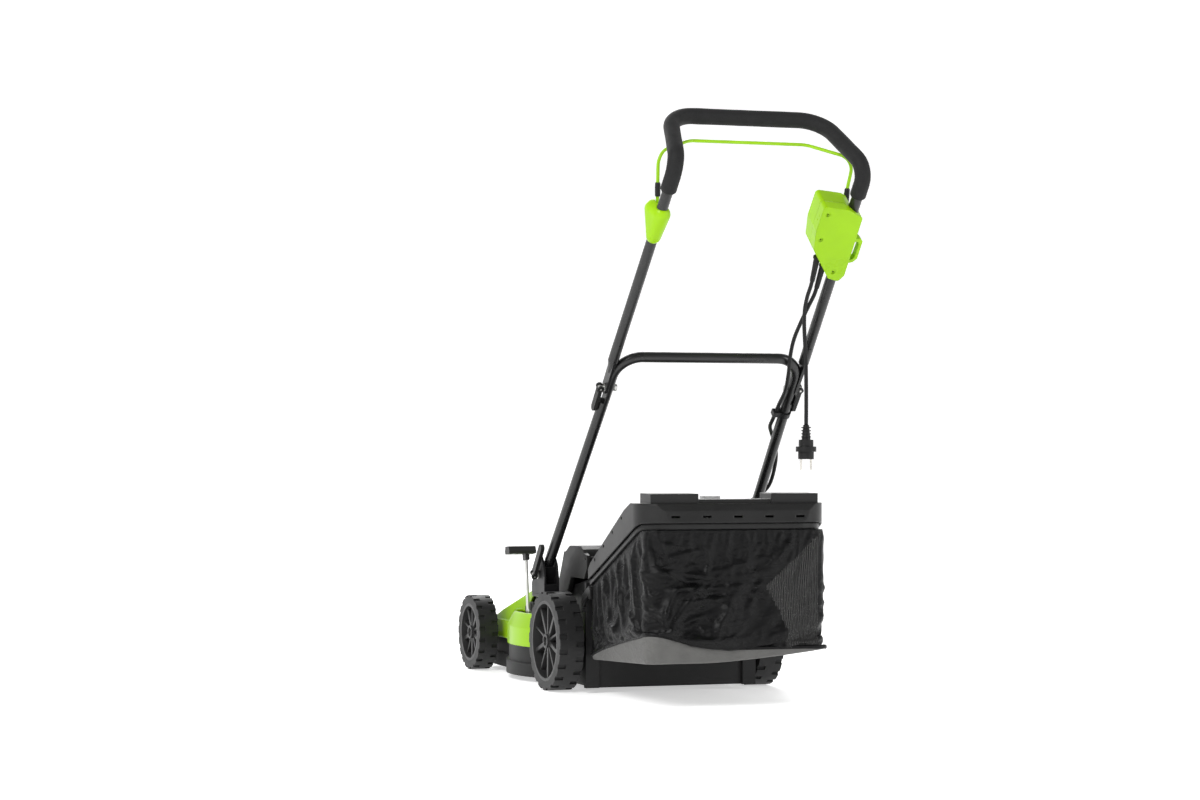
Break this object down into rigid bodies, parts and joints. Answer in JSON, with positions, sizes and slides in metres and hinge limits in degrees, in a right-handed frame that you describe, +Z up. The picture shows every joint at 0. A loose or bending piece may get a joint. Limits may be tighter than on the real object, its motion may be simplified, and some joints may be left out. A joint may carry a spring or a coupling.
{
  "type": "corded electric rotary lawn mower",
  "caption": "Corded electric rotary lawn mower: wheeled deck, folding tube handle with foam grip and green bail, switch box, hanging plug and rear grass bag.",
  "frame": {"origin": "centre of the bounding box's underside (the nodes of the free cord left out), on the ground", "axes": "+X to the operator's right, +Y forward in the direction it is pushed, +Z up"},
  "size_m": [0.438, 1.0966, 1.0296],
  "materials": {
    "housing_plastic": "matte black",
    "cowl_green": "satin lime green",
    "hood_plastic": "matte black",
    "bracket_plastic": "matte black",
    "zinc_steel": "zinc plated",
    "motor_steel": "grey paint",
    "copper_winding": "enamelled copper wire and steel",
    "cable_rubber": "matte black",
    "knob_plastic": "ribbed black",
    "wheel_plastic": "satin black",
    "tyre_plastic": "matte black",
    "flap_plastic": "ribbed black",
    "fan_plastic": "black",
    "holder_plastic": "glass-filled black",
    "blade_steel": "sharpened edges",
    "lid_plastic": "satin black",
    "bag_nylon": "black woven polyester",
    "bag_mesh_cloth": "open black mesh",
    "bottom_panel": "grey coated cloth",
    "smoke_plastic": "frosted clear plastic",
    "tube_paint": "satin black powder coat",
    "clip_plastic": "black",
    "foam": "matte black foam",
    "green_plastic": "satin lime green",
    "switch_plastic": "black",
    "plug_rubber": "moulded black",
    "pin_nickel": "nickel plated",
    "bail_paint": "lime green paint",
    "button_plastic": "orange",
    "lever_plastic": "black"
  },
  "bodies": {
    "chassis": {"deck_housing": "housing_plastic", "deck_cowl": "cowl_green", "motor_hood": "hood_plastic", "rear_console": "hood_plastic", "handle_bracket_left": "bracket_plastic", "handle_bracket_right": "bracket_plastic", "fold_bolts": "zinc_steel", "motor_can": "motor_steel", "motor_stator": "copper_winding", "motor_bearings": "zinc_steel", "height_rack": "hood_plastic", "deck_screws": "zinc_steel", "motor_cable": "cable_rubber"},
    "height_lever_set": {"height_lever": "zinc_steel", "height_knob": "knob_plastic"},
    "rear_axle_set": {"rear_axle": "zinc_steel"},
    "front_axle_set": {"front_axle": "zinc_steel"},
    "rear_link": {"link_rod_rear": "zinc_steel"},
    "front_link": {"link_rod_front": "zinc_steel"},
    "rear_left_wheel": {"wheel_rear_left": "wheel_plastic", "tyre_rear_left": "tyre_plastic"},
    "rear_right_wheel": {"wheel_rear_right": "wheel_plastic", "tyre_rear_right": "tyre_plastic"},
    "front_left_wheel": {"wheel_front_left": "wheel_plastic", "tyre_front_left": "tyre_plastic"},
    "front_right_wheel": {"wheel_front_right": "wheel_plastic", "tyre_front_right": "tyre_plastic"},
    "flap": {"rear_flap": "flap_plastic"},
    "rotor": {"rotor_shaft": "zinc_steel", "rotor_core": "copper_winding", "cooling_fan": "fan_plastic", "blade_holder": "holder_plastic", "blade": "blade_steel", "blade_bolt": "zinc_steel"},
    "grass_bag": {"bag_lid": "lid_plastic", "bag_rim": "lid_plastic", "bag_fabric": "bag_nylon", "bag_mesh": "bag_mesh_cloth", "bag_bottom": "bottom_panel"},
    "fill_flap": {"indicator_flap": "smoke_plastic"},
    "lower_handle": {"lower_tube": "tube_paint", "mid_bolts": "zinc_steel", "cable_clip": "clip_plastic"},
    "upper_handle": {"upper_tube": "tube_paint", "foam_grip": "foam", "bail_clamp": "green_plastic", "switch_box_front": "green_plastic", "switch_box_rear": "green_plastic", "microswitch": "switch_plastic", "cord_hook": "green_plastic", "cable_boots": "cable_rubber", "mains_cord": "cable_rubber", "plug_body": "plug_rubber", "plug_pins": "pin_nickel"},
    "bail_bar": {"bail": "bail_paint"},
    "button": {"start_button": "button_plastic"},
    "lever_mid_left": {"cam_lever_mid_left": "lever_plastic"},
    "lever_mid_right": {"cam_lever_mid_right": "lever_plastic"},
    "lever_low_left": {"cam_lever_low_left": "lever_plastic"},
    "lever_low_right": {"cam_lever_low_right": "lever_plastic"}
  },
  "joints": [
    {"name": "lower_fold", "type": "hinge", "parent": "chassis", "child": "lower_handle", "pos_m": [0, 0.08077, 0.207], "axis": [-1, 0, 0], "range_deg": [0, 105], "deforming": ["motor_cable"]},
    {"name": "upper_fold", "type": "hinge", "parent": "lower_handle", "child": "upper_handle", "pos_m": [0, -0.22176, 0.55258], "axis": [1, 0, 0], "range_deg": [-140, 0], "deforming": ["motor_cable"]},
    {"name": "bail_pull", "type": "hinge", "parent": "upper_handle", "child": "bail_bar", "pos_m": [0, -0.45923, 0.8573], "axis": [1, 0, 0], "range_deg": [0, 10], "stiffness_Nm_per_rad": 2, "springref_deg": -8.59},
    {"name": "start_press", "type": "slide", "parent": "upper_handle", "child": "button", "axis": [0, -0.7524, -0.6587], "range_m": [0, 0.0035], "stiffness_N_per_m": 500, "springref_m": -0.002},
    {"name": "cam_low_left", "type": "hinge", "parent": "chassis", "child": "lever_low_left", "pos_m": [-0.212, 0.08077, 0.207], "axis": [0, -0.7524, -0.6587], "range_deg": [0, 95]},
    {"name": "cam_low_right", "type": "hinge", "parent": "chassis", "child": "lever_low_right", "pos_m": [0.212, 0.08077, 0.207], "axis": [0, 0.7524, 0.6587], "range_deg": [0, 95]},
    {"name": "cam_mid_left", "type": "hinge", "parent": "lower_handle", "child": "lever_mid_left", "pos_m": [-0.191, -0.22176, 0.55258], "axis": [0, 0.7524, 0.6587], "range_deg": [0, 95]},
    {"name": "cam_mid_right", "type": "hinge", "parent": "lower_handle", "child": "lever_mid_right", "pos_m": [0.191, -0.22176, 0.55258], "axis": [0, -0.7524, -0.6587], "range_deg": [0, 95]},
    {"name": "height_adjust", "type": "hinge", "parent": "chassis", "child": "height_lever_set", "pos_m": [-0.172, 0.23128, 0.126], "axis": [1, 0, 0], "range_deg": [-40, 0]},
    {"name": "rear_axle_swing", "type": "hinge", "parent": "chassis", "child": "rear_axle_set", "pos_m": [0, 0.02904, 0.06706], "axis": [1, 0, 0], "range_deg": [0, 70]},
    {"name": "front_axle_swing", "type": "hinge", "parent": "chassis", "child": "front_axle_set", "pos_m": [0, 0.49904, 0.05006], "axis": [1, 0, 0], "range_deg": [0, 70]},
    {"name": "rear_link_turn", "type": "hinge", "parent": "rear_axle_set", "child": "rear_link", "pos_m": [-0.1555, 0.03764, 0.07934], "axis": [1, 0, 0], "range_deg": [-70, 0]},
    {"name": "front_link_turn", "type": "hinge", "parent": "front_axle_set", "child": "front_link", "pos_m": [-0.149, 0.50764, 0.06234], "axis": [1, 0, 0], "range_deg": [-70, 0]},
    {"name": "rear_left_spin", "type": "hinge", "parent": "rear_axle_set", "child": "rear_left_wheel", "pos_m": [-0.196, -0.00373, 0.09], "axis": [1, 0, 0], "continuous": true},
    {"name": "rear_right_spin", "type": "hinge", "parent": "rear_axle_set", "child": "rear_right_wheel", "pos_m": [0.196, -0.00373, 0.09], "axis": [1, 0, 0], "continuous": true},
    {"name": "front_left_spin", "type": "hinge", "parent": "front_axle_set", "child": "front_left_wheel", "pos_m": [-0.2, 0.46627, 0.073], "axis": [1, 0, 0], "continuous": true},
    {"name": "front_right_spin", "type": "hinge", "parent": "front_axle_set", "child": "front_right_wheel", "pos_m": [0.2, 0.46627, 0.073], "axis": [1, 0, 0], "continuous": true},
    {"name": "flap_lift", "type": "hinge", "parent": "chassis", "child": "flap", "pos_m": [0, -0.05373, 0.241], "axis": [-1, 0, 0], "range_deg": [0, 80]},
    {"name": "blade_spin", "type": "hinge", "parent": "chassis", "child": "rotor", "pos_m": [0, 0.23628, 0.096], "axis": [0, 0, 1], "continuous": true},
    {"name": "bag_lift", "type": "slide", "parent": "chassis", "child": "grass_bag", "axis": [0, -0.866, 0.5], "range_m": [0, 0.3]},
    {"name": "fill_flap_lift", "type": "hinge", "parent": "grass_bag", "child": "fill_flap", "pos_m": [-0.023, -0.31573, 0.3545], "axis": [1, 0, 0], "range_deg": [0, 60]}
  ],
  "couplings": [
    {"joint": "rear_axle_swing", "follows": "height_adjust", "ratio": -1.75},
    {"joint": "front_axle_swing", "follows": "height_adjust", "ratio": -1.75},
    {"joint": "rear_link_turn", "follows": "height_adjust", "ratio": 1.75},
    {"joint": "front_link_turn", "follows": "height_adjust", "ratio": 1.75}
  ]
}
